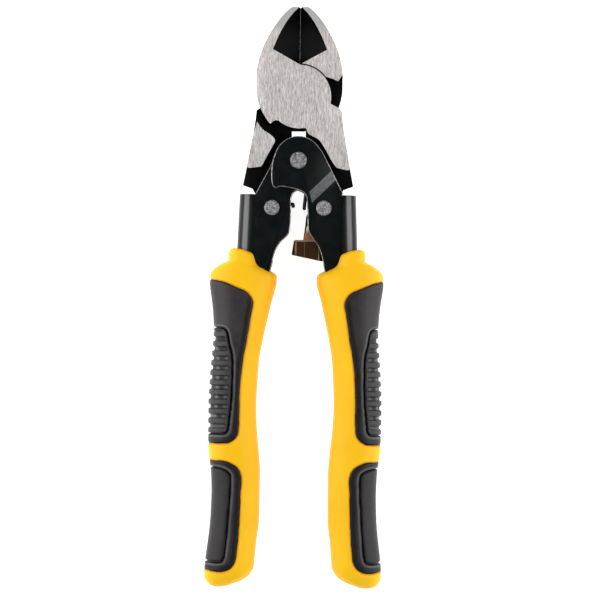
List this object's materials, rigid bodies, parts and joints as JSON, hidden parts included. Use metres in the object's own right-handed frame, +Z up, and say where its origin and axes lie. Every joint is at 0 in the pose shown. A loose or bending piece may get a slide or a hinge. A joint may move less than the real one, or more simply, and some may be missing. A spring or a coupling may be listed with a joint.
{
  "type": "compound cutting pliers",
  "caption": "Compound-action diagonal cutting pliers with a lap-jointed head, riveted steel channel handles, a sheet latch and two-colour moulded grips, lying flat.",
  "frame": {"origin": "centre of the tool's outline in plan, on the surface that it lies on", "axes": "+Y along the tool towards the jaw tip, +Z up through its thickness, +X to the right grip"},
  "size_m": [0.0638, 0.2084, 0.019],
  "materials": {
    "ground_steel": "ground along the tool, with black hollows",
    "black_steel": "black oxide, satin",
    "rivet_steel": "dull",
    "spacer_steel": "dull",
    "spring_steel": "blackened",
    "yellow_zinc": "yellow-passivated zinc",
    "grip_yellow": "satin moulded",
    "pad_rubber": "fine grain",
    "panel_rubber": "fine grain"
  },
  "bodies": {
    "hub": {"hub_rivet": "rivet_steel", "spring_sleeve": "spacer_steel", "return_spring": "spring_steel"},
    "left_handle": {"left_channel": "black_steel", "left_link_rivet": "rivet_steel", "left_link_washers": "spacer_steel", "left_grip_core": "grip_yellow", "left_upper_pad": "pad_rubber", "left_lower_pad": "pad_rubber", "left_rib_panel": "panel_rubber", "left_palm_panel": "panel_rubber", "catch_pin": "rivet_steel", "stop_pin": "rivet_steel"},
    "right_handle": {"right_channel": "black_steel", "right_link_rivet": "rivet_steel", "right_grip_core": "grip_yellow", "right_upper_pad": "pad_rubber", "right_lower_pad": "pad_rubber", "right_rib_panel": "panel_rubber", "right_palm_panel": "panel_rubber"},
    "rear_jaw": {"rear_jaw": "ground_steel"},
    "front_jaw": {"front_jaw": "ground_steel", "jaw_rivet": "rivet_steel"},
    "latch": {"lock_latch": "yellow_zinc"}
  },
  "joints": [
    {"name": "left_handle_hinge", "type": "hinge", "parent": "hub", "child": "left_handle", "pos_m": [0, 0.0492, 0.0095], "axis": [0, 0, -1], "range_deg": [0, 16], "stiffness_Nm_per_rad": 0.4, "springref_deg": 20.05, "deforming": ["return_spring"]},
    {"name": "right_handle_hinge", "type": "hinge", "parent": "hub", "child": "right_handle", "pos_m": [0, 0.0492, 0.0095], "axis": [0, 0, 1], "range_deg": [0, 16], "stiffness_Nm_per_rad": 0.4, "springref_deg": 20.05},
    {"name": "rear_jaw_link", "type": "hinge", "parent": "left_handle", "child": "rear_jaw", "pos_m": [-0.0093, 0.0322, 0.0095], "axis": [0, 0, 1], "range_deg": [0, 9.6]},
    {"name": "front_jaw_link", "type": "hinge", "parent": "right_handle", "child": "front_jaw", "pos_m": [0.0093, 0.0322, 0.0095], "axis": [0, 0, -1], "range_deg": [0, 9.6]},
    {"name": "latch_pivot", "type": "hinge", "parent": "right_handle", "child": "latch", "pos_m": [0.0093, 0.0322, 0.0095], "axis": [0, 0, -1], "range_deg": [0, 32]}
  ],
  "couplings": [
    {"joint": "right_handle_hinge", "follows": "left_handle_hinge", "ratio": 1},
    {"joint": "rear_jaw_link", "follows": "left_handle_hinge", "ratio": 0.6},
    {"joint": "front_jaw_link", "follows": "left_handle_hinge", "ratio": 0.6}
  ]
}
